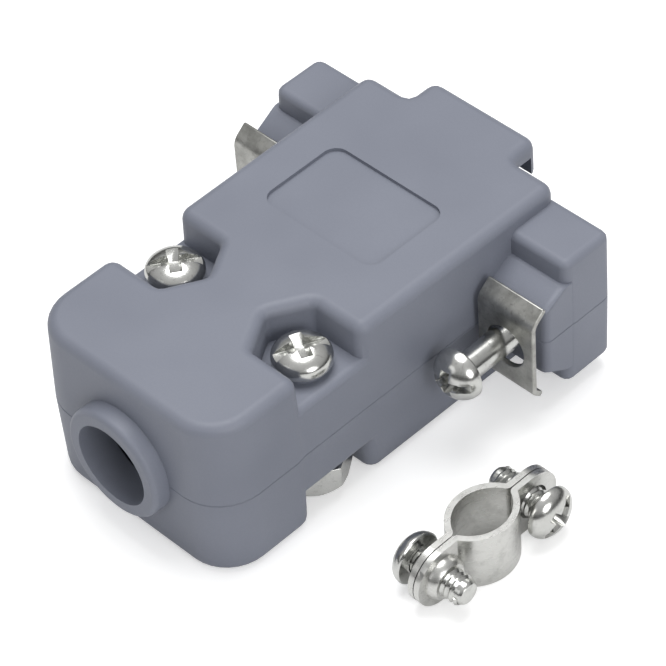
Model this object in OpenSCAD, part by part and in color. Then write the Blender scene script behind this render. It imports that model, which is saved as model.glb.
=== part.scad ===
// Two-part moulded hood for a nine-pin D-sub connector, with its case screws and nuts,
// its jack screws with their retaining clips, and the two-strap cable clamp that lies beside it.
// Frame: origin on the connector flange seat, on the mating axis; +Y towards the connector,
// +Z up, and the two shells meet at Z = 0.

/* [Connector] */
// Distance between the two jack screws
jack_pitch = 24.99; // [22:0.01:34]
// Width of the connector flange
flange_w = 30.8; // [28:0.1:40]
// Height of the connector flange
flange_h = 12.5; // [11:0.1:16]
// Width of the housing behind the connector flange
rear_w = 19.3; // [17:0.1:20.6]
// Height of the housing behind the connector flange
rear_h = 10.7; // [8:0.1:11.4]
// Depth of the housing behind the connector flange
rear_d = 4.8; // [3:0.1:5]

/* [Shells] */
// Width of the cable block at the parting line
block_w = 20; // [19.2:0.1:21]
// Width of the body where it meets the screw notches
waist_w = 19.7; // [19:0.1:20.6]
// Width of the body at the connector end
body_w = 20; // [19.2:0.1:21]
// Length from the flange seat to the cable end
hood_l = 35.8; // [32:0.1:60]
// Height of the upper shell above the parting line
upper_h = 7.7; // [7.2:0.1:12]
// Height of the lower shell below the parting line
lower_h = 7.4; // [7.2:0.1:12]
// Wall thickness
wall = 1.5; // [1:0.1:1.9]
// Mould draft of the outer walls, in degrees
draft = 1.7; // [0.5:0.1:2.2]
// Rounding of the top and bottom edges
edge_r = 0.9; // [0.4:0.05:0.95]
// Rounding of the block corners in plan
block_r = 3.9; // [1.6:0.1:6]
// Rounding of the body corners in plan
body_r = 1.2; // [1.2:0.05:2.5]

/* [Screw notches] */
// Distance of the notch centre from the flange seat
notch_y = 23.8; // [21.5:0.1:26]
// Distance of a case screw from the middle plane
case_x = 6.65; // [6.2:0.05:7]
// Width of the six-sided notch across its flats
notch_af = 5.9; // [5.7:0.05:7]
// Height of the upper ledge above the parting line
ledge_up = 4.6; // [4:0.1:5.2]
// Depth of the lower ledge below the parting line
ledge_dn = 4.1; // [3.8:0.1:4.6]

/* [Ears] */
// Depth of an ear along the connector axis
ear_d = 5.2; // [4.4:0.1:7]
// Distance that the clip boss stands behind an ear
boss_d = 2.2; // [1.6:0.1:3]
// Half height of the clip boss at its rear face
boss_near_z = 3.15; // [2.8:0.05:3.8]
// Half height of the clip boss at the ear
boss_far_z = 4.3; // [4:0.1:5]

/* [Nose] */
// Width of the flange lips
nose_w = 11.2; // [8:0.1:14]
// Distance that the flange lips stand out
nose_d = 2.85; // [2.2:0.05:4]
// Width of the groove for the flange
groove_d = 2; // [1.2:0.1:2.2]
// Height of the lip edge above the connector axis
lip_z = 4.7; // [4.5:0.1:5.4]

/* [Cable entry] */
// Diameter of the cable hole
cable_d = 6.9; // [4:0.1:7.4]
// Outer diameter of the cable ring
ring_d = 9.3; // [8.6:0.1:11]
// Distance that the cable ring stands out
ring_h = 1.4; // [0.6:0.1:3]

/* [Label recess] */
// Width of the label recess
label_w = 11.6; // [6:0.1:14]
// Length of the label recess
label_l = 8; // [5:0.1:10]
// Distance of the label recess from the flange seat
label_y = 7.6; // [6:0.1:9]
// Depth of the label recess
label_t = 0.3; // [0.1:0.05:0.5]

/* [Case screws] */
// Thread diameter of a case screw
case_d = 2.6; // [2:0.1:2.8]
// Length of a case screw under its head
case_l = 11.6; // [10.6:0.1:12]
// Height of the collar under the head of a case screw
case_collar = 0.6; // [0.2:0.1:1]
// Head diameter of a case screw
case_head_d = 4.6; // [4:0.05:5.2]
// Head height of a case screw
case_head_h = 1.75; // [1.2:0.05:2]
// Width of a case nut across its flats
nut_af = 5.5; // [4.6:0.1:5.7]
// Thickness of a case nut
nut_h = 2.4; // [1.6:0.1:2.6]

/* [Jack screws] */
// Thread diameter of a jack screw
jack_d = 2.84; // [2.4:0.02:3]
// Diameter of the undercut shank of a jack screw
jack_shank_d = 2.1; // [1.7:0.05:2.2]
// Length of a jack screw under its head
jack_l = 12.9; // [12.4:0.1:15]
// Length of the thread of a jack screw
jack_thread_l = 4.1; // [3:0.1:4.4]
// Head diameter of a jack screw
jack_head_d = 4.4; // [3.6:0.05:4.8]
// Head height of a jack screw
jack_head_h = 2; // [1.2:0.05:2.4]
// Distance that a jack screw is drawn out of its home position
jack_out = 5.5; // [4:0.05:6]

/* [Clips] */
// Width of a clip
clip_w = 5.5; // [4.8:0.1:5.6]
// Thickness of the clip sheet
clip_t = 0.5; // [0.3:0.05:0.6]
// Diameter of the hole in a clip
clip_hole_d = 3.6; // [3:0.1:4]
// Sideways offset of the right clip from its screw
clip_shift_right = 0.6; // [0.3:0.05:0.65]
// Sideways offset of the left clip from its screw
clip_shift_left = 0.3; // [0.3:0.05:0.65]
// Distance that a clip is drawn off its boss
clip_out = 1.5; // [0:0.1:1.8]

/* [Cable clamp] */
// Distance between the two clamp screws
clamp_pitch = 9.6; // [9:0.1:11]
// Width of a clamp strap
strap_w = 5; // [4:0.1:5.6]
// Thickness of the strap sheet
strap_t = 0.5; // [0.4:0.05:0.7]
// Length of the cable eye from foot to foot
eye_l = 6; // [4.8:0.1:6.4]
// Depth of the eye in one strap
eye_h = 1.9; // [1.2:0.05:2.2]
// Thread diameter of a clamp screw
clamp_d = 2.4; // [2:0.1:2.6]
// Length of a clamp screw under its head
clamp_l = 5; // [4:0.1:6]
// Head diameter of a clamp screw
clamp_head_d = 4.3; // [3.6:0.1:4.4]
// Head height of a clamp screw
clamp_head_h = 1.5; // [1:0.05:1.8]
// Distance that a clamp screw is backed off its strap
clamp_out = 1.4; // [0:0.1:2]
// Distance of the clamp from the middle plane of the hood
clamp_x = 21.5; // [21:0.1:40]
// Distance of the clamp behind the flange seat
clamp_y = 21.1; // [10:0.1:30]

/* [Fits] */
// Radial room round a jack screw thread in its ear
jack_room = 0.23; // [0.1:0.01:0.3]
// Radial room round an undercut shank in its neck
neck_room = 0.15; // [0.05:0.01:0.2]
// Radial room round a case screw
case_room = 0.15; // [0.05:0.01:0.25]
// Room all round the housing behind the connector flange
rear_room = 0.15; // [0.05:0.01:0.2]
// Room over the edge of the connector flange in its groove
flange_room = 0.08; // [0.03:0.01:0.15]
// Gap between a clip and the plastic it slides on
clip_room = 0.06; // [0.03:0.01:0.1]
// Gap between the drawn-out thread and the neck that stops it
stop_room = 0.05; // [0.02:0.01:0.2]
// Radial room round a clamp screw in the plain hole
clamp_room = 0.3; // [0.1:0.05:0.4]

/* [Hidden] */

cut = 0.5;                                  // how far a cutter runs past the face it opens
round_fn = 48;                              // sides of a drawn circle
edge_steps = 5;                             // facets across a rounded edge
lean = tan(draft);                          // sideways run of a drafted wall per unit of height
notch_front = notch_y - notch_af / 2;       // notch flat nearer the connector
notch_back = notch_y + notch_af / 2;        // notch flat nearer the cable
notch_corner_x = case_x - notch_af / 2 * tan(30);
notch_vertex_x = case_x - notch_af / 2 / cos(30);
inner_r = 0.35;                             // small rounding of inside corners in plan
ear_x = flange_w / 2;                       // outer face of an ear
ear_z = flange_h / 2;                       // top face of an ear
ear_r = 0.95;                               // rounding of the ear corners in plan
ear_edge_r = 0.65;                          // rounding of the upper ear edges
ledge_r = 0.6;                              // rounding of the ledge edges
seam_c = 0.07;                              // chamfer of both shells at the parting line
boss_r = 0.6;                               // rounding of the boss edge in plan
jack_x = jack_pitch / 2;
boss_face = ear_d + boss_d;                 // rear face of the clip boss
jack_home = -boss_face - clip_t - 2 * clip_room;      // underside of a driven-home screw head
neck_l = boss_face + jack_home - jack_out + jack_l - jack_thread_l - stop_room;
cavity_x = waist_w / 2 - wall - 0.1;        // half width of the wiring space
cavity_front = rear_d - 0.2;                // the wiring space opens into the connector space
cavity_back = notch_front - wall;           // rear wall of the wiring space
channel_x = case_x - case_d / 2 - case_room - 1.15;   // half width of the cable channel
channel_z = ledge_dn - 0.8;                 // half height of the cable channel
pocket_front = notch_back + 1.2;            // clamp pocket, front wall
pocket_back = hood_l - wall;                // clamp pocket, rear wall
pocket_x = block_w / 2 - wall - 0.1;
tongue_t = 0.6;                             // thickness of the locating tongue
tongue_h = 0.8;                             // height of the locating tongue
tongue_room = 0.1;                          // gap between the tongue and the other shell
strap_steps = 10;                           // facets of one half of the eye
floor_z = -lower_h;                         // the surface the hood and the clamp stand on

function unit(v) = v / norm(v);

// One rounded corner c of a counter-clockwise outline, between the points p and n, drawn as an
// arc of radius r on the outline that lies d inside it.
function corner(p, c, n, r, d, steps) =
    let (a = unit(c - p), b = unit(n - c),
         side = sign(a.x * b.y - a.y * b.x),
         turn = acos(max(-1, min(1, a * b))),
         start = c - r * tan(turn / 2) * a,
         centre = start + side * r * [-a.y, a.x],
         from = atan2(start.y - centre.y, start.x - centre.x))
    [for (i = [0:steps]) let (t = from + side * turn * i / steps)
        centre + (r - side * d) * [cos(t), sin(t)]];

// Outline of rounded corners, each [x, y, radius, steps], drawn d inside the sharp one.
function rounded(c, d) =
    let (n = len(c), p = [for (q = c) [q.x, q.y]])
    [for (i = [0:n - 1]) each corner(p[(i + n - 1) % n], p[i], p[(i + 1) % n], c[i][2], d, c[i][3])];

// Right half of an outline and its mirror image, as one counter-clockwise list.
function both_sides(c) =
    concat(c, [for (i = [len(c) - 1:-1:0]) [-c[i].x, c[i].y, c[i][2], c[i][3]]]);

// Twice the area of the triangle a, b, c; positive when it turns to the left.
function turn_of(a, b, c) = (b.x - a.x) * (c.y - a.y) - (b.y - a.y) * (c.x - a.x);

// Position in the list of point numbers k of the first corner that can be cut off the outline p:
// it turns left and no other point lies in its triangle or on an edge of it.
function first_ear(p, k, i = 0) =
    let (n = len(k), a = p[k[(i + n - 1) % n]], b = p[k[i]], c = p[k[(i + 1) % n]])
    turn_of(a, b, c) > 1e-6 && len([for (q = k)
        if (p[q] != a && p[q] != b && p[q] != c && turn_of(a, b, p[q]) > -1e-6
            && turn_of(b, c, p[q]) > -1e-6 && turn_of(c, a, p[q]) > -1e-6) q]) == 0
        ? i : first_ear(p, k, i + 1);

// Triangles that fill the outline p, as point numbers, cutting off one corner at a time.
function filled(p, k) =
    len(k) == 3 ? [k]
    : let (n = len(k), i = first_ear(p, k))
        concat([[k[(i + n - 1) % n], k[i], k[(i + 1) % n]]],
               filled(p, [for (q = [0:n - 1]) if (q != i) k[q]]));

// Solid through a stack of rings, each [points, height]; all rings have as many points.
module loft(rings) {
    n = len(rings[0][0]);
    m = len(rings);
    points = [for (r = rings) for (p = r[0]) [p.x, p.y, r[1]]];
    walls = [for (k = [0:m - 2]) for (i = [0:n - 1])
        let (j = (i + 1) % n, a = k * n + i, b = k * n + j, c = b + n, d = a + n)
        each [[a, c, b], [a, d, c]]];
    ends = concat(
        filled(rings[0][0], [for (i = [0:n - 1]) i]),
        [for (t = filled(rings[m - 1][0], [for (i = [0:n - 1]) i]))
            [for (q = [2:-1:0]) t[q] + (m - 1) * n]]);
    polyhedron(
        points = points,
        faces = concat(ends, [for (t = walls)
            if (points[t[0]] != points[t[1]] && points[t[1]] != points[t[2]]
                && points[t[2]] != points[t[0]]) t]));
}

// Plan of the hood with its notches and lips. e is the draft at this height: the front faces
// stay upright, because they seat the connector.
function hood_plan(e) = both_sides([
    [block_w / 2, -hood_l, block_r, 8],
    [block_w / 2, -notch_back, body_r, 4],
    [notch_corner_x, -notch_back, inner_r, 2],
    [notch_vertex_x, -notch_y, inner_r, 2],
    [notch_corner_x, -notch_front, inner_r, 2],
    [waist_w / 2, -notch_front, body_r, 4],
    [body_w / 2, e, body_r, 4],
    [nose_w / 2, e, inner_r, 2],
    [nose_w / 2, nose_d + e, body_r, 4]]);

function ear_plan(e) = [
    [ear_x, -ear_d, ear_r, 3],
    [ear_x, e, ear_r, 3],
    [body_w / 2 - 2, e, ear_r, 3],
    [body_w / 2 - 2, -ear_d, ear_r, 3]];

// Heights and insets of the rings that round off an edge of radius r at the height h.
function rounding(h, r) =
    [for (i = [0:edge_steps]) let (t = 90 * i / edge_steps) [h - r + r * sin(t), r * (1 - cos(t))]];

// Heights and insets of the small chamfer that both shells have where they meet.
function seam() = [[0, seam_c], [seam_c, 0]];

// The outline closed across the notches at the distance x from the middle plane. The closing
// points lean towards the middle of the notch, so that no two of them fall on one line.
function closed_notches(ring, x) =
    [for (p = ring)
        let (off = p.y + notch_y, gap = x - abs(p.x))
        abs(off) < notch_af / 2 + body_r && gap > 0
            ? [sign(p.x) * x, p.y - 0.2 * gap * off / notch_af] : p];

// Body of one shell: closed up to its ledges, notched above them.
module body(h, ledge) {
    low = concat(seam(), rounding(ledge, ledge_r));
    high = concat([[ledge, 0]], rounding(h, edge_r));
    loft(concat(
        [for (v = low) let (e = lean * v[0])
            [v[0] < ledge / 2
                ? closed_notches(rounded(hood_plan(e), e + v[1]), waist_w / 2 - e - v[1])
                : closed_notches(rounded(hood_plan(e), e), waist_w / 2 - e - v[1]), v[0]]],
        [for (v = high) let (e = lean * v[0]) [rounded(hood_plan(e), e + v[1]), v[0]]]));
}

module ear() {
    loft([for (v = concat(seam(), rounding(ear_z, ear_edge_r))) let (e = lean * v[0])
        [rounded(ear_plan(e), e + v[1]), v[0]]]);
}

// Wedge behind an ear that carries the clip: its top falls towards the cable end.
module boss() {
    function plan(y, d) = rounded([
        [ear_x - 0.05, -y, boss_r, 3], [ear_x - 0.05, -ear_d + 1, 0.3, 1],
        [waist_w / 2 - 1, -ear_d + 1, 0.3, 1], [waist_w / 2 - 1, -y, 0.3, 1]], d);
    loft([[plan(boss_face, seam_c), 0], [plan(boss_face, 0), seam_c],
          [plan(boss_face, 0), boss_near_z], [plan(ear_d + 0.3, 0), boss_far_z]]);
}

// Channel for one jack screw: a narrow neck behind, a wide chamber in front.
module jack_channel() {
    translate([jack_x, -boss_face - cut, 0])
        rotate([-90, 0, 0])
            cylinder(r = jack_shank_d / 2 + neck_room, h = boss_face + 2 * cut, $fn = round_fn);
    translate([jack_x, -boss_face + neck_l, 0])
        rotate([-90, 0, 0])
            cylinder(r = jack_d / 2 + jack_room, h = boss_face, $fn = round_fn);
}

module box(x, y0, y1, z0, z1) {
    translate([-x, y0, z0])
        cube([2 * x, y1 - y0, z1 - z0]);
}

// Everything that is hollow in a shell of height h, whose ledge lies at the height ledge.
module hollows(h, ledge) {
    box(rear_w / 2 + rear_room, -rear_d, cut, -cut, rear_h / 2 + rear_room);
    box(cavity_x, -cavity_back, -cavity_front, -cut, h - wall);
    box(channel_x, -pocket_front - cut, -cavity_back + cut, -cut, channel_z);
    intersection() {
        box(pocket_x, -pocket_back, -pocket_front, -cut, h - wall);
        translate([0, 0, -cut])
            linear_extrude(h)
                pocket_plan();
    }
    // flange groove and the open front below the lips
    box(nose_w / 2 + 1, 0, groove_d, -cut, flange_h / 2 + flange_room);
    box(nose_w / 2 + 1, 0, nose_d + 1, -cut, lip_z);
    for (side = [-1, 1])
        scale([side, 1, 1]) {
            jack_channel();
            translate([case_x, -notch_y, -cut])
                cylinder(d = case_d + 2 * case_room, h = ledge + 2 * cut, $fn = round_fn);
        }
}

// Inside of the cable block, with round rear corners that follow the outside.
module pocket_plan() {
    r = block_r - wall;
    translate([-pocket_x, -pocket_back + r])
        square([2 * pocket_x, pocket_back - pocket_front - r]);
    translate([-pocket_x + r, -pocket_back])
        square([2 * (pocket_x - r), r + cut]);
    for (side = [-1, 1])
        translate([side * (pocket_x - r), -pocket_back + r])
            circle(r = r, $fn = round_fn);
}

// One shell, drawn above the parting line.
module half_shell(h, ledge, collar) {
    difference() {
        union() {
            body(h, ledge);
            for (side = [-1, 1])
                mirror([side < 0 ? 1 : 0, 0, 0]) {
                    ear();
                    boss();
                    if (collar > 0)
                        translate([case_x, -notch_y, ledge - 1])
                            cylinder(d = case_head_d - 0.9, h = collar + 1, $fn = round_fn);
                }
            // cable ring, with a rounded outer edge
            intersection() {
                translate([0, -hood_l + 1, 0])
                    rotate([90, 0, 0])
                        rotate_extrude($fn = round_fn)
                            ring_profile();
                box(ring_d, -hood_l - ring_h - cut, -hood_l + 2, 0, ring_d);
            }
        }
        hollows(h, ledge + collar);
        translate([0, -hood_l + wall + 1, 0])
            rotate([90, 0, 0])
                cylinder(d = cable_d, h = wall + ring_h + 2, $fn = round_fn);
    }
}

module ring_profile() {
    r = 0.45;
    l = ring_h + 1;
    square([ring_d / 2, l - r]);
    square([ring_d / 2 - r, l]);
    translate([ring_d / 2 - r, l - r])
        circle(r = r, $fn = 24);
}

// Label recess of rounded rectangular plan in the top face.
module label_recess() {
    r = 1.2;
    translate([0, -label_y - label_l / 2, upper_h - label_t])
        linear_extrude(label_t + cut) {
            square([label_w - 2 * r, label_l], center = true);
            square([label_w, label_l - 2 * r], center = true);
            for (x = [-1, 1], y = [-1, 1])
                translate([x * (label_w / 2 - r), y * (label_l / 2 - r)])
                    circle(r = r, $fn = round_fn);
        }
}

// Tongues under the upper shell that drop inside the side walls of the lower one.
module tongues() {
    x = cavity_x - tongue_room - tongue_t;
    l = cavity_back - cavity_front - 4;
    for (side = [-1, 1])
        scale([side, 1, 1]) {
            translate([x, -cavity_back + 2, -tongue_h])
                cube([tongue_t, l, 2 * tongue_h]);
            translate([x, -cavity_back + 2, tongue_h / 2])
                cube([tongue_t + tongue_room + cut, l, tongue_h / 2]);
        }
}

module upper_shell() {
    color("slategray")
        difference() {
            union() {
                half_shell(upper_h, ledge_up, case_collar);
                tongues();
            }
            label_recess();
        }
}

module lower_shell() {
    color("slategray")
        mirror([0, 0, 1])
            half_shell(lower_h, ledge_dn, 0);
}

// Pan head with its underside at z = 0, a slot right across and a cross recess.
module pan_head(d, h) {
    crown = h * 0.42;                       // height of the straight rim
    r = ((d / 2) * (d / 2) + (h - crown) * (h - crown)) / (2 * (h - crown));
    slot = d * 0.2;
    difference() {
        intersection() {
            cylinder(d = d, h = h, $fn = round_fn);
            translate([0, 0, h - r])
                sphere(r = r, $fn = round_fn);
        }
        translate([-d, -slot / 2, h * 0.62])
            cube([2 * d, slot, h]);
        for (a = [0, 90])
            rotate([0, 0, a])
                translate([-d * 0.33, -slot / 2, h * 0.4])
                    cube([d * 0.66, slot, h]);
    }
}

module case_screw(side) {
    translate([side * case_x, -notch_y, ledge_up + case_collar]) {
        rotate([0, 0, side * 35])
            pan_head(case_head_d, case_head_h);
        translate([0, 0, -case_l])
            cylinder(d = case_d, h = case_l + 0.2, $fn = round_fn);
    }
}

// Hexagon nut whose free edges are chamfered. It hangs on its screw under the lower ledge.
module case_nut(side) {
    r = nut_af / 2 / cos(30);
    translate([side * case_x, -notch_y, -ledge_dn - nut_h])
        difference() {
            intersection() {
                cylinder(r = r, h = nut_h, $fn = 6);
                translate([0, 0, -0.35])
                    cylinder(r1 = nut_af / 2 - 0.35, r2 = r + nut_h * 0.8, h = nut_h + 0.7, $fn = round_fn);
            }
            translate([0, 0, -cut])
                cylinder(d = case_d, h = nut_h + 2 * cut, $fn = round_fn);
        }
}

module jack_screw(side) {
    translate([side * jack_x, jack_home - jack_out, 0])
        rotate([-90, 0, 0]) {
            mirror([0, 0, 1])
                rotate([0, 0, side * 25])
                    pan_head(jack_head_d, jack_head_h);
            translate([0, 0, -0.2])
                cylinder(d = jack_shank_d, h = jack_l - jack_thread_l + 0.4, $fn = round_fn);
            translate([0, 0, jack_l - jack_thread_l])
                cylinder(d = jack_d, h = jack_thread_l - 0.3, $fn = round_fn);
            translate([0, 0, jack_l - 0.3])
                cylinder(d1 = jack_d, d2 = jack_d - 0.6, h = 0.3, $fn = round_fn);
        }
}

// Bent sheet clip: an upright plate with a round hole, and two tabs that follow the slopes of
// the boss. The side view is bent as one strip and given the width of the clip.
module jack_clip(side) {
    slope = atan2(boss_far_z - boss_near_z, boss_d - 0.3);
    reach = 1.9;                            // length of a tab along the connector axis
    rise = reach * tan(slope);
    off = clip_t / cos(slope);              // the tab's thickness measured upright
    top = boss_near_z + clip_room / cos(slope);
    back = -boss_face - clip_room - clip_out;
    profile = [
        [0, -top], [0, top], [reach, top + rise],
        [reach - clip_t * sin(slope), top + rise + clip_t * cos(slope)],
        [-clip_t, top + off - clip_t * tan(slope)], [-clip_t, -top - off + clip_t * tan(slope)],
        [reach - clip_t * sin(slope), -top - rise - clip_t * cos(slope)], [reach, -top - rise]];
    shift = side > 0 ? clip_shift_right : clip_shift_left;
    translate([side * (jack_x + shift), back, 0])
        difference() {
            translate([-clip_w / 2, 0, 0])
                rotate([90, 0, 90])
                    linear_extrude(clip_w)
                        polygon(profile);
            translate([0, cut, 0])
                rotate([90, 0, 0])
                    cylinder(d = clip_hole_d, h = clip_t + 2 * cut, $fn = round_fn);
        }
}

// Plan of one face of a clamp strap: flat ears that sweep in an S into the bowl of the eye.
// u runs along the strap, v away from the other strap; t is the distance from the inner face.
function strap_face(t) =
    let (end = clamp_pitch / 2 + strap_w / 2, a = eye_l / 2)
    concat([[-end, t]],
           [for (i = [-strap_steps:strap_steps])
               let (u = a * i / strap_steps, w = 180 * i / strap_steps,
                    rise = -90 * PI / 180 * 2 * eye_h / 2 / a * sin(w))
               [u, eye_h * (1 + cos(w)) / 2] + t * unit([-rise, 1])],
           [[end, t]]);

module strap() {
    inner = strap_face(0);
    outer = strap_face(strap_t);
    gap = 0.04;                             // the two straps just touch
    difference() {
        union() {
            intersection() {
                translate([0, 0, -strap_w / 2])
                    linear_extrude(strap_w)
                        translate([0, gap])
                            polygon(concat(inner, [for (i = [len(outer) - 1:-1:0]) outer[i]]));
                strap_blank();
            }
            // extruded collar round the tapped hole
            translate([clamp_pitch / 2, 0.2, 0])
                rotate([-90, 0, 0])
                    cylinder(d = clamp_d + 1.2, h = strap_t + 0.6, $fn = round_fn);
        }
        translate([clamp_pitch / 2, -cut, 0])
            rotate([-90, 0, 0])
                cylinder(d = clamp_d, h = strap_t + 2 + cut, $fn = round_fn);
        translate([-clamp_pitch / 2, -cut, 0])
            rotate([-90, 0, 0])
                cylinder(d = clamp_d + 2 * clamp_room, h = strap_t + 2 * cut, $fn = round_fn);
    }
}

// Outline of the flat strap before it is bent, seen along the screws.
module strap_blank() {
    depth = eye_h + strap_t + 2;
    translate([0, -1, 0])
        rotate([-90, 0, 0])
            linear_extrude(depth) {
                square([clamp_pitch, strap_w], center = true);
                for (x = [-1, 1])
                    translate([x * clamp_pitch / 2, 0])
                        circle(d = strap_w, $fn = round_fn);
            }
}

module clamp_screw() {
    translate([0, -strap_t - clamp_out, 0])
        rotate([-90, 0, 0]) {
            mirror([0, 0, 1])
                rotate([0, 0, 20])
                    pan_head(clamp_head_d, clamp_head_h);
            translate([0, 0, -0.2])
                cylinder(d = clamp_d, h = clamp_l + 0.2, $fn = round_fn);
        }
}

// The clamp stands on its strap edges beside the hood, its length along Y. side is 1 for the
// strap and the screw that face away from the hood.
module at_clamp(side) {
    translate([clamp_x, -clamp_y, floor_z + strap_w / 2])
        rotate([0, 0, side > 0 ? -90 : 90])
            children();
}

module clamp_strap(side) {
    at_clamp(side)
        strap();
}

// A clamp screw sits in the plain hole of one strap and in the tapped hole of the other.
module clamp_pair_screw(side) {
    at_clamp(-side)
        translate([clamp_pitch / 2, 0, 0])
            clamp_screw();
}

upper_shell();
lower_shell();
color("silver") case_screw(-1);  // case_screw_left
color("silver") case_screw(1);  // case_screw_right
color("gainsboro") case_nut(-1);  // case_nut_left
color("gainsboro") case_nut(1);  // case_nut_right
color("silver") jack_screw(-1);  // jack_screw_left
color("silver") jack_screw(1);  // jack_screw_right
color("darkgray") jack_clip(-1);  // jack_clip_left
color("darkgray") jack_clip(1);  // jack_clip_right
color("lightgray") clamp_strap(1);  // clamp_strap_front
color("lightgray") clamp_strap(-1);  // clamp_strap_back
color("silver") clamp_pair_screw(1);  // clamp_screw_front
color("silver") clamp_pair_screw(-1);  // clamp_screw_back
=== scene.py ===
"""Looks of the two-part connector hood: moulded shells, bright screws, worn clips, cable clamp."""

import math

import bmesh
import bpy
from mathutils import Matrix, Vector


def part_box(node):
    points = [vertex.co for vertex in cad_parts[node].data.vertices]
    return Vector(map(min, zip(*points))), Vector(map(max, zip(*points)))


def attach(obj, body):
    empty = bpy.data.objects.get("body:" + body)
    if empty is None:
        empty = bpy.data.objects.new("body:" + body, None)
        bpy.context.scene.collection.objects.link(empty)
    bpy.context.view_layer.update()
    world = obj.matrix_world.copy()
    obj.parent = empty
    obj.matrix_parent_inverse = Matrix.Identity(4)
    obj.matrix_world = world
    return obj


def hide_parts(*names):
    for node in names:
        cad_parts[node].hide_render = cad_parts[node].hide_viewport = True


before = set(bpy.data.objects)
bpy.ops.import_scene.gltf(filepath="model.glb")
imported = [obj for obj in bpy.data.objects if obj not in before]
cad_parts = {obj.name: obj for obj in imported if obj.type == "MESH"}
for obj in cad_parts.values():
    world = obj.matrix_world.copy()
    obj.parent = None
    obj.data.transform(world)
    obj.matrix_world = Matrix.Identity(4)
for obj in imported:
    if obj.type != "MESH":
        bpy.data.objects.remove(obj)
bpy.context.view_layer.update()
MM = 0.001


# ---------------------------------------------------------------- shader maths

class Socket:
    """A shader value that can be written in plain expressions."""

    def __init__(self, tree, link):
        self.tree, self.link = tree, link

    def math(self, operation, *others, swap=False):
        values = [self, *others]
        if swap:
            values.reverse()
        return self.tree.node("ShaderNodeMath", {"operation": operation}, *values)

    def __add__(self, other): return self.math("ADD", other)
    def __radd__(self, other): return self.math("ADD", other, swap=True)
    def __sub__(self, other): return self.math("SUBTRACT", other)
    def __rsub__(self, other): return self.math("SUBTRACT", other, swap=True)
    def __mul__(self, other): return self.math("MULTIPLY", other)
    def __rmul__(self, other): return self.math("MULTIPLY", other, swap=True)
    def __truediv__(self, other): return self.math("DIVIDE", other)
    def __rtruediv__(self, other): return self.math("DIVIDE", other, swap=True)
    def __pow__(self, other): return self.math("POWER", other)
    def __gt__(self, other): return self.math("GREATER_THAN", other)
    def __lt__(self, other): return self.math("LESS_THAN", other)


class Finish:
    """One material, built node by node."""

    def __init__(self, name, **fixed):
        self.material = bpy.data.materials.new(name)
        self.material.use_nodes = True
        self.tree = self.material.node_tree
        self.shader = self.tree.nodes["Principled BSDF"]
        for key, value in fixed.items():
            self.shader.inputs[key.replace("_", " ")].default_value = value
        self.place = self.node("ShaderNodeTexCoord", out="Object")

    def node(self, kind, settings=None, *values, out=0, **named):
        made = self.tree.nodes.new(kind)
        for key, value in (settings or {}).items():
            if key == "stops":
                ramp = made.color_ramp
                while len(ramp.elements) < len(value):
                    ramp.elements.new(0.5)
                for stop, (place, colour) in zip(ramp.elements, value):
                    stop.position, stop.color = place, colour
            else:
                setattr(made, key, value)
        for key, value in [*enumerate(values), *named.items()]:
            self.feed(made.inputs[key.replace("_", " ") if isinstance(key, str) else key], value)
        return Socket(self, made.outputs[out])

    def feed(self, socket, value):
        if isinstance(value, Socket):
            self.tree.links.new(value.link, socket)
        else:
            socket.default_value = value

    def set(self, **inputs):
        for key, value in inputs.items():
            self.feed(self.shader.inputs[key.replace("_", " ")], value)

    def noise(self, size_mm, detail=3.0, rough=0.5, place=None):
        return self.node("ShaderNodeTexNoise", None, Vector=place or self.place,
                         Scale=1 / (size_mm * MM), Detail=detail, Roughness=rough, out=0)

    def stretched(self, *factors):
        return self.node("ShaderNodeMapping", None, Vector=self.place, Scale=factors)

    def cells(self, size_mm, feature="F1", out="Distance"):
        return self.node("ShaderNodeTexVoronoi", {"feature": feature}, Vector=self.place,
                         Scale=1 / (size_mm * MM), out=out)

    def band(self, value, low, high):
        return self.node("ShaderNodeMapRange", None, Value=value, From_Min=low, From_Max=high)

    def tint(self, factor, first, second):
        made = self.tree.nodes.new("ShaderNodeMix")
        made.data_type = "RGBA"
        self.feed(made.inputs[0], factor)
        self.feed(made.inputs[6], first)
        self.feed(made.inputs[7], second)
        return Socket(self, made.outputs[2])

    def bump(self, height, depth_mm, strength=1.0):
        self.set(Normal=self.node("ShaderNodeBump", None, Strength=strength,
                                  Distance=depth_mm * MM, Height=height))


def linear(red, green, blue):
    """A screen colour from 0 to 255 as linear light."""
    def one(value):
        value /= 255
        return value / 12.92 if value <= 0.04045 else ((value + 0.055) / 1.055) ** 2.4
    return (one(red), one(green), one(blue), 1.0)


# ---------------------------------------------------------------- finishes

def moulded_plastic():
    f = Finish("moulded_plastic", Specular_IOR_Level=0.42)
    cloud = f.noise(9.0, 2)
    grain = f.noise(0.16, 2, 0.6)
    pits = f.cells(0.22)
    colour = f.tint(f.band(cloud, 0.35, 0.65), linear(121, 125, 137), linear(127, 131, 143))
    f.set(Base_Color=f.tint(grain * 0.35, colour, linear(112, 116, 129)),
          Roughness=f.band(grain, 0.0, 1.0) * 0.10 + 0.44)
    f.bump(grain * 0.6 + pits * 0.4, 0.012, 0.5)
    return f.material


def bright_nickel():
    f = Finish("bright_nickel", Metallic=1.0)
    smear = f.noise(0.9, 4, 0.6)
    fine = f.noise(0.12, 3, 0.6)
    dirt = f.band(f.noise(0.5, 5, 0.65), 0.56, 0.72)
    bright = f.tint(smear, linear(214, 214, 211), linear(186, 187, 184))
    f.set(Base_Color=f.tint(dirt * 0.45, bright, linear(112, 111, 107)),
          Roughness=smear * 0.12 + fine * 0.06 + 0.12)
    f.bump(smear * 0.7 + fine * 0.3, 0.02, 0.35)
    return f.material


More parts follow.
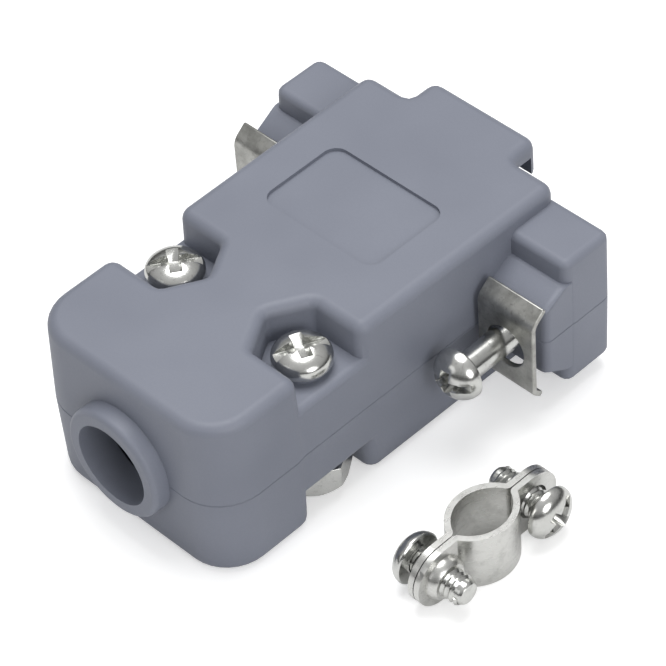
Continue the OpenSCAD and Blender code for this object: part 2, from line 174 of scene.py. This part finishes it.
def dull_zinc():
    f = Finish("dull_zinc", Metallic=1.0)
    blotch = f.noise(1.3, 4, 0.6)
    mottle = f.noise(0.35, 5, 0.7)
    scuff = f.noise(0.16, 4, 0.7, f.stretched(1, 1, 0.35))
    colour = f.tint(f.band(blotch, 0.35, 0.65), linear(150, 150, 146), linear(184, 184, 180))
    stained = f.tint(f.band(mottle, 0.55, 0.72) * 0.55, colour, linear(112, 112, 108))
    f.set(Base_Color=f.tint(f.band(scuff, 0.60, 0.75) * 0.45, stained, linear(214, 214, 210)),
          Roughness=mottle * 0.22 + 0.26)
    f.bump(mottle * 0.6 + scuff * 0.4, 0.02, 0.45)
    return f.material


def rolled_strap():
    f = Finish("rolled_strap", Metallic=1.0)
    streak = f.noise(0.5, 4, 0.6, f.stretched(1, 0.35, 3.0))
    fine = f.noise(0.10, 3, 0.6, f.stretched(1, 0.5, 4.0))
    stain = f.band(f.noise(1.1, 4, 0.6), 0.50, 0.72)
    f.set(Base_Color=f.tint(stain * 0.5, linear(205, 205, 202), linear(158, 158, 155)),
          Roughness=streak * 0.14 + fine * 0.08 + 0.18)
    f.bump(streak * 0.6 + fine * 0.4, 0.012, 0.4)
    return f.material


PLASTIC = moulded_plastic()
NICKEL = bright_nickel()
ZINC = dull_zinc()
STRAP = rolled_strap()


# ---------------------------------------------------------------- mesh helpers

def add_piece(name, mesh, material, node, body):
    """A finished mesh, placed in the shared frame, that stands for a node of the frame."""
    mesh.materials.clear()
    mesh.materials.append(material)
    piece = bpy.data.objects.new(name, mesh)
    bpy.context.collection.objects.link(piece)
    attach(piece, body)
    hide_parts(node)
    return piece


def working_object(mesh):
    piece = bpy.data.objects.new("work", mesh)
    bpy.context.collection.objects.link(piece)
    return piece


def applied(piece):
    """The evaluated mesh of a working object, with its modifiers worked in."""
    bpy.context.view_layer.update()
    mesh = bpy.data.meshes.new_from_object(
        piece.evaluated_get(bpy.context.evaluated_depsgraph_get()))
    bpy.data.objects.remove(piece)
    return mesh


def shade(mesh, sharp=33):
    """Smooth shading that breaks at edges turning by more than the sharp angle."""
    bm = bmesh.new()
    bm.from_mesh(mesh)
    for face in bm.faces:
        face.smooth = True
    for edge in bm.edges:
        edge.smooth = len(edge.link_faces) == 2 and edge.calc_face_angle(0) < math.radians(sharp)
    bm.to_mesh(mesh)
    bm.free()
    piece = working_object(mesh)
    weight = piece.modifiers.new("flat faces stay flat", "WEIGHTED_NORMAL")
    weight.keep_sharp = True
    weight.weight = 100
    return applied(piece)


def merged(node):
    """A node's own surface with its loose triangles joined and its flat faces whole."""
    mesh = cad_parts[node].data.copy()
    bm = bmesh.new()
    bm.from_mesh(mesh)
    bmesh.ops.remove_doubles(bm, verts=bm.verts, dist=2e-6)
    bmesh.ops.dissolve_limit(bm, angle_limit=math.radians(0.4), verts=bm.verts, edges=bm.edges)
    bm.to_mesh(mesh)
    bm.free()
    return mesh


def eased(mesh, radius, segments=3, sharp=35):
    """The mesh with its sharp edges rounded to a radius."""
    piece = working_object(mesh)
    bevel = piece.modifiers.new("eased edges", "BEVEL")
    bevel.limit_method = "ANGLE"
    bevel.angle_limit = math.radians(sharp)
    bevel.width = radius
    bevel.segments = segments
    return applied(piece)


def lathe(profile, steps=56):
    """A closed turned form about Z; the profile runs from the lower pole to the upper one."""
    bm = bmesh.new()
    rings = []
    for radius, height in profile:
        if radius < 1e-6:
            rings.append([bm.verts.new((0, 0, height))])
        else:
            rings.append([bm.verts.new((radius * math.cos(math.tau * k / steps),
                                        radius * math.sin(math.tau * k / steps), height))
                          for k in range(steps)])
    for low, high in zip(rings, rings[1:]):
        for k in range(steps):
            corners = [low[k % len(low)], low[(k + 1) % len(low)],
                       high[(k + 1) % len(high)], high[k % len(high)]]
            bm.faces.new(list(dict.fromkeys(corners)))
    bmesh.ops.recalc_face_normals(bm, faces=bm.faces)
    mesh = bpy.data.meshes.new("turned")
    bm.to_mesh(mesh)
    bm.free()
    return mesh


def wedge(length, width, top, bottom, foot=(1.0, 1.0)):
    """A straight cutter from its top down to its bottom, narrower at the foot by two shares."""
    bm = bmesh.new()
    levels = []
    for height, (along, across) in ((bottom, foot), (top, (1.0, 1.0))):
        x, y = length * along / 2, width * across / 2
        levels.append([bm.verts.new(p + (height,)) for p in ((-x, -y), (x, -y), (x, y), (-x, y))])
    low, high = levels
    bm.faces.new(low[::-1])
    bm.faces.new(high)
    for k in range(4):
        bm.faces.new((low[k], low[(k + 1) % 4], high[(k + 1) % 4], high[k]))
    mesh = bpy.data.meshes.new("cutter")
    bm.to_mesh(mesh)
    bm.free()
    return mesh


def worked(mesh, steps):
    """The mesh after each step: a boolean operation's name and the mesh that it uses."""
    piece = working_object(mesh)
    tools = []
    for operation, shape in steps:
        tool = working_object(shape)
        change = piece.modifiers.new(operation.lower(), "BOOLEAN")
        change.operation = operation
        change.solver = "EXACT"
        change.object = tool
        tools.append(tool)
    result = applied(piece)
    for tool in tools:
        bpy.data.objects.remove(tool)
    return result


def moved(mesh, *steps):
    """The mesh after its transforms, the last one first."""
    for step in reversed(steps):
        mesh.transform(step)
    return mesh


def bent(place, heading, moves):
    """Points along a strip: a move is a straight length, or a bend as (radius, turn)."""
    place = Vector(place)
    points = [place.copy()]
    for move in moves:
        radius, turn = move if isinstance(move, tuple) else (None, 0)
        pieces = 10 if radius else 1
        chord = 2 * radius * math.sin(abs(turn) / pieces / 2) if radius else move
        for _ in range(pieces):
            heading += turn / pieces / 2
            place += chord * Vector((math.cos(heading), math.sin(heading)))
            heading += turn / pieces / 2
            points.append(place.copy())
    return points


def ribbon(path, thickness):
    """The outline of a strip of one thickness along a path."""
    sides = ([], [])
    for k, point in enumerate(path):
        along = (path[min(k + 1, len(path) - 1)] - path[max(k - 1, 0)]).normalized()
        across = Vector((-along.y, along.x)) * thickness / 2
        sides[0].append(point + across)
        sides[1].append(point - across)
    return sides[0] + sides[1][::-1]


def extruded(outline, low, high, place):
    """A closed prism; place turns an outline point and a height into a point in space."""
    bm = bmesh.new()
    ends = [[bm.verts.new(place(a, b, height)) for a, b in outline] for height in (low, high)]
    bm.faces.new(ends[0][::-1])
    bm.faces.new(ends[1])
    for k in range(len(outline)):
        after = (k + 1) % len(outline)
        bm.faces.new((ends[0][k], ends[0][after], ends[1][after], ends[1][k]))
    bmesh.ops.recalc_face_normals(bm, faces=bm.faces)
    mesh = bpy.data.meshes.new("prism")
    bm.to_mesh(mesh)
    bm.free()
    return mesh


def joined(meshes):
    bm = bmesh.new()
    for mesh in meshes:
        bm.from_mesh(mesh)
    result = bpy.data.meshes.new("joined")
    bm.to_mesh(result)
    bm.free()
    return result


# ---------------------------------------------------------------- screw threads

def thread_tree():
    """A helical ridge about Z, from its core radius, depth, pitch and length."""
    tree = bpy.data.node_groups.new("screw_thread", "GeometryNodeTree")
    tree.interface.new_socket("Geometry", in_out="INPUT", socket_type="NodeSocketGeometry")
    tree.interface.new_socket("Geometry", in_out="OUTPUT", socket_type="NodeSocketGeometry")
    keys = {name: tree.interface.new_socket(name, in_out="INPUT", socket_type="NodeSocketFloat").identifier
            for name in ("Core Radius", "Depth", "Pitch", "Length")}
    keys["Material"] = tree.interface.new_socket(
        "Material", in_out="INPUT", socket_type="NodeSocketMaterial").identifier
    given = tree.nodes.new("NodeGroupInput").outputs

    def node(kind, **inputs):
        made = tree.nodes.new("GeometryNode" + kind if "Node" not in kind else kind)
        for key, value in inputs.items():
            socket = made.inputs[key.replace("_", " ")]
            if isinstance(value, bpy.types.NodeSocket):
                tree.links.new(value, socket)
            else:
                socket.default_value = value
        return made

    turns = tree.nodes.new("ShaderNodeMath")
    turns.operation = "DIVIDE"
    tree.links.new(given["Length"], turns.inputs[0])
    tree.links.new(given["Pitch"], turns.inputs[1])
    half = tree.nodes.new("ShaderNodeMath")
    half.operation = "MULTIPLY"
    tree.links.new(given["Pitch"], half.inputs[0])
    half.inputs[1].default_value = 0.46
    spiral = node("CurveSpiral", Resolution=28, Rotations=turns.outputs[0], Height=given["Length"],
                  Start_Radius=given["Core Radius"], End_Radius=given["Core Radius"])
    outward = node("SetCurveNormal", Curve=spiral.outputs[0])
    outward.mode = "Z_UP"
    ridge = node("CurvePrimitiveCircle", Resolution=4, Radius=1.0)
    size = node("ShaderNodeCombineXYZ", X=given["Depth"], Y=half.outputs[0], Z=1.0)
    flat = node("Transform", Geometry=ridge.outputs[0], Scale=size.outputs[0])
    sweep = node("CurveToMesh", Curve=outward.outputs[0], Profile_Curve=flat.outputs[0], Fill_Caps=True)
    real = node("RealizeInstances", Geometry=sweep.outputs[0])
    finish = node("SetMaterial", Geometry=real.outputs[0], Material=given["Material"])
    tree.links.new(finish.outputs[0], tree.nodes.new("NodeGroupOutput").inputs["Geometry"])
    return tree, keys


THREAD, THREAD_KEYS = thread_tree()


def thread(core, depth, pitch, length, material):
    piece = working_object(bpy.data.meshes.new("thread"))
    ridge = piece.modifiers.new("thread", "NODES")
    ridge.node_group = THREAD
    for key, value in (("Core Radius", core), ("Depth", depth), ("Pitch", pitch),
                       ("Length", length), ("Material", material)):
        ridge[THREAD_KEYS[key]] = value
    mesh = applied(piece)
    bm = bmesh.new()
    bm.from_mesh(mesh)
    bmesh.ops.recalc_face_normals(bm, faces=bm.faces)
    bm.to_mesh(mesh)
    bm.free()
    return mesh


# ---------------------------------------------------------------- screws

def screw(node, body, crown, head, edge, shank, threads, turn, slot_cut, cross_cut):
    """A turned screw with a slotted, cross-recessed pan head, in the place of its node.

    Sizes are in millimetres. crown is the way the head's top looks; head is (diameter, height);
    edge is the share of its height that stands straight before the dome;
    threads is (diameter, pitch, length) up from the tip; slot_cut is (width, depth) and
    cross_cut is (length, width, depth).
    """
    low, high = (Vector(corner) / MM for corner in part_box(node))
    crown = Vector(crown)
    length = abs((high - low).dot(crown)) - head[1]
    middle = (low + high) / 2
    seat = middle + crown * ((length + head[1]) / 2 - head[1])
    radius, height = head[0] / 2, head[1]
    side = height * edge
    outer, pitch, cut_length = threads
    depth = pitch * 0.38
    core = outer / 2 - depth
    tip = 0.3
    profile = [(0, -length), (core - tip * 0.6, -length), (core, -length + tip),
               (core, -length + cut_length), (shank / 2, -length + cut_length + 0.12),
               (shank / 2, -0.08), (shank / 2 + 0.08, 0), (radius - 0.12, 0), (radius, 0.12), (radius, side)]
    arc = 9
    for k in range(1, arc + 1):
        angle = math.pi / 2 * k / arc
        profile.append((radius * math.cos(angle) if k < arc else 0,
                        side + (height - side) * math.sin(angle)))
    top = height + 0.5
    width, deep = slot_cut
    across, arm, hollow = cross_cut
    cuts = [("DIFFERENCE", wedge(head[0] * 1.2, width, top, height - deep)),
            ("DIFFERENCE", wedge(across, arm, top, height - hollow, (0.42, 0.6))),
            ("DIFFERENCE", wedge(arm, across, top, height - hollow, (0.6, 0.42)))]
    blank = eased(worked(lathe(profile), cuts), 0.07, 2)
    ridge = thread(core, depth, pitch, cut_length - 0.5, NICKEL)
    ridge.transform(Matrix.Translation((0, 0, -length + 0.42)))
    mesh = joined([blank, ridge])
    place = crown.to_track_quat("Z", "Y").to_matrix().to_4x4() @ Matrix.Rotation(turn, 4, "Z")
    mesh.transform(Matrix.Scale(MM, 4) @ Matrix.Translation(seat) @ place)
    add_piece(node + "_turned", shade(mesh, 38), NICKEL, node, body)


CASE = dict(head=(4.6, 1.75), edge=0.34, shank=2.6, threads=(2.6, 0.45, 6.0), slot_cut=(0.85, 0.7),
            cross_cut=(3.5, 1.15, 1.05))
JACK = dict(head=(4.3, 2.0), edge=0.12, shank=2.3, threads=(2.84, 0.635, 4.1), slot_cut=(0.7, 0.95),
            cross_cut=(3.1, 1.0, 1.35))
CLAMP = dict(head=(4.3, 1.5), edge=0.16, shank=2.2, threads=(2.4, 0.45, 4.9), slot_cut=(0.65, 0.65),
             cross_cut=(3.0, 0.95, 1.0))
for side, turn in (("left", 0.95), ("right", 1.15)):
    screw("case_screw_" + side, "hood", (0, 0, 1), turn=turn, **CASE)
for side, turn in (("left", 0.5), ("right", 0.08)):
    screw("jack_screw_" + side, side + "_screw", (0, -1, 0), turn=turn, **JACK)
screw("clamp_screw_front", "hood", (1, 0, 0), turn=0.75, **CLAMP)
screw("clamp_screw_back", "hood", (-1, 0, 0), turn=0.15, **CLAMP)


# ---------------------------------------------------------------- bent sheet: clips and straps

def spring_clip(side):
    """A holed plate whose upper end leans over in a wide bend and whose foot turns out."""
    node = "jack_clip_" + side
    low, high = (Vector(corner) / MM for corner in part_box(node))
    sheet, fold, lean, bend = 0.46, 3.4, math.radians(51), 1.1
    plate = low.y + 0.25
    tangent = bend * math.tan(lean / 2)
    up = bent((plate, 0), math.pi / 2, [fold - tangent, (bend, -lean), 1.6 - tangent])
    down = bent((plate, 0), -math.pi / 2, [fold - 0.3, (0.6, math.radians(48)), 0.7])
    strip = extruded(ribbon(down[::-1] + up[1:], sheet), low.x, high.x, lambda y, z, x: (x, y, z))
    drill = moved(lathe([(0, -2), (1.8, -2), (1.8, 2), (0, 2)]),
                  Matrix.Translation(((low.x + high.x) / 2, plate, 0)), Matrix.Rotation(math.pi / 2, 4, "X"))
    mesh = eased(worked(strip, [("DIFFERENCE", drill)]), 0.13)
    add_piece(node + "_bent", shade(moved(mesh, Matrix.Scale(MM, 4))), ZINC, node, side + "_clip")


def clamp_strap(node, outward, thread_side):
    """A strap with a round eye, one plain hole, and one hole in a drawn collar for the thread."""
    low, high = (Vector(corner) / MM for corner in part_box(node))
    sheet, eye, arch, fillet = 0.5, 1.9, 3.35, 0.35
    half, middle = (high.y - low.y) / 2, (high + low) / 2
    face = low.x if outward > 0 else high.x
    turn = math.acos(1 - eye / (arch + fillet))
    path = bent((0, eye + sheet / 2), 0,
                [(arch, -turn), (fillet, turn), half - (arch + fillet) * math.sin(turn)])
    path = [Vector((-point.x, point.y)) for point in path[:0:-1]] + path
    strip = extruded(ribbon(path, sheet), low.z, high.z,
                     lambda u, v, z: (face + outward * v, middle.y + u, z))
    end = (high.z - low.z) / 2
    tab = [(middle.y + way * (half - end) + end * math.cos(angle), middle.z + end * math.sin(angle))
           for way, first in ((1, -math.pi / 2), (-1, math.pi / 2))
           for angle in (first + math.pi * k / 24 for k in range(25))]
    blank = extruded(tab, face - 3, face + 3, lambda y, z, x: (x, y, z))
    steps = [("INTERSECT", blank)]
    aim = Matrix.Rotation(outward * math.pi / 2, 4, "Y")
    pitch = 4.8
    for way in (1, -1):
        at = Matrix.Translation((face + outward * sheet, middle.y + way * pitch, middle.z))
        if way == thread_side:
            collar = [(0, -0.2), (1.82, -0.2), (1.78, 0.2), (1.66, 0.55), (1.45, 0.78), (0, 0.8)]
            steps.append(("UNION", moved(lathe(collar), at, aim)))
        hole = 1.06 if way == thread_side else 1.4
        steps.append(("DIFFERENCE", moved(lathe([(0, -2), (hole, -2), (hole, 2), (0, 2)]), at, aim)))
    mesh = eased(worked(strip, steps), 0.11)
    add_piece(node + "_bent", shade(moved(mesh, Matrix.Scale(MM, 4))), STRAP, node, "hood")


# ---------------------------------------------------------------- the rest of the pieces

for node in ("upper_shell", "lower_shell"):
    add_piece(node + "_moulding", shade(merged(node)), PLASTIC, node, "hood")
for side in ("left", "right"):
    nut = "case_nut_" + side
    add_piece(nut + "_pressed", shade(eased(merged(nut), 0.1 * MM)), NICKEL, nut, "hood")
    spring_clip(side)
clamp_strap("clamp_strap_front", 1, -1)
clamp_strap("clamp_strap_back", -1, 1)


# ---------------------------------------------------------------- floor, light, camera

def stage_plane(name, size, height, material):
    bpy.ops.mesh.primitive_plane_add(size=size, location=(0.005, -0.017, height))
    plane = bpy.context.object
    plane.name = name
    plane.data.materials.append(material)
    return plane


def pale_floor():
    """White to the camera and in reflections, darker only where the object's shadow falls."""
    f = Finish("pale_floor", Roughness=0.9)
    f.set(Base_Color=(0.82, 0.82, 0.82, 1))
    path = f.tree.nodes.new("ShaderNodeLightPath")
    glow = f.tree.nodes.new("ShaderNodeEmission")
    glow.inputs["Color"].default_value = (1, 1, 1, 1)
    glow.inputs["Strength"].default_value = 0.42
    dark = f.tree.nodes.new("ShaderNodeEmission")
    dark.inputs["Strength"].default_value = 0.0
    seen = Socket(f, path.outputs["Is Camera Ray"])
    glossy = Socket(f, path.outputs["Is Glossy Ray"])
    pick = f.node("ShaderNodeMixShader", None, seen.math("MAXIMUM", glossy * 0.25),
                  Socket(f, dark.outputs[0]), Socket(f, glow.outputs[0]))
    total = f.node("ShaderNodeAddShader", None, Socket(f, f.shader.outputs[0]), pick)
    f.tree.links.new(total.link, f.tree.nodes["Material Output"].inputs["Surface"])
    return f.material


stage_plane("floor", 1.2, -7.4 * MM - 2e-6, pale_floor())

def studio_room():
    """A room with a bright ceiling and a dim band at eye height; plain white to the camera."""
    world = bpy.data.worlds.new("studio")
    bpy.context.scene.world = world
    world.use_nodes = True
    tree = world.node_tree
    place = tree.nodes.new("ShaderNodeTexCoord")
    split = tree.nodes.new("ShaderNodeSeparateXYZ")
    ramp = tree.nodes.new("ShaderNodeValToRGB")
    stops = ((0.0, 0.40), (0.52, 0.10), (0.60, 0.06), (0.70, 0.38), (1.0, 0.72))
    while len(ramp.color_ramp.elements) < len(stops):
        ramp.color_ramp.elements.new(0.5)
    for stop, (height, level) in zip(ramp.color_ramp.elements, stops):
        stop.position, stop.color = height, (level, level, level, 1)
    half = tree.nodes.new("ShaderNodeMapRange")
    half.inputs["From Min"].default_value = -1
    room = tree.nodes["Background"]
    white = tree.nodes.new("ShaderNodeBackground")
    path = tree.nodes.new("ShaderNodeLightPath")
    mix = tree.nodes.new("ShaderNodeMixShader")
    for start, end in ((place.outputs["Generated"], split.inputs[0]), (split.outputs["Z"], half.inputs[0]),
                       (half.outputs[0], ramp.inputs[0]), (ramp.outputs[0], room.inputs["Color"]),
                       (path.outputs["Is Camera Ray"], mix.inputs[0]), (room.outputs[0], mix.inputs[1]),
                       (white.outputs[0], mix.inputs[2]),
                       (mix.outputs[0], tree.nodes["World Output"].inputs["Surface"])):
        tree.links.new(start, end)


studio_room()


def lamp(name, place, aim, size, power):
    light = bpy.data.lights.new(name, "AREA")
    light.shape = "DISK"
    light.size = size
    light.energy = power
    made = bpy.data.objects.new(name, light)
    made.location = place
    made.rotation_euler = (Vector(aim) - Vector(place)).to_track_quat("-Z", "Y").to_euler()
    bpy.context.collection.objects.link(made)


CENTRE = (0.005, -0.017, 0)
lamp("overhead", (-0.06, 0.05, 0.42), CENTRE, 0.30, 1.15)
lamp("right_side", (0.42, -0.10, 0.22), CENTRE, 0.26, 0.72)
lamp("cable_end", (-0.10, -0.42, 0.20), CENTRE, 0.26, 0.12)

eye = bpy.data.cameras.new("camera")
eye.sensor_width = 36
eye.lens = 36 * 3422.98 / 666
eye.clip_start = 0.01
camera = bpy.data.objects.new("camera", eye)
right = Vector((0.70984, 0.70197, -0.05808)).normalized()
back = Vector((0.52493, -0.47223, 0.70813))
back = (back - right * back.dot(right)).normalized()
up = back.cross(right)
camera.matrix_world = Matrix.Translation((0.136684, -0.137609, 0.180945)) @ Matrix(
    (right, up, back)).transposed().to_4x4()
bpy.context.collection.objects.link(camera)
bpy.context.scene.camera = camera
bpy.context.scene.view_settings.view_transform = "Standard"
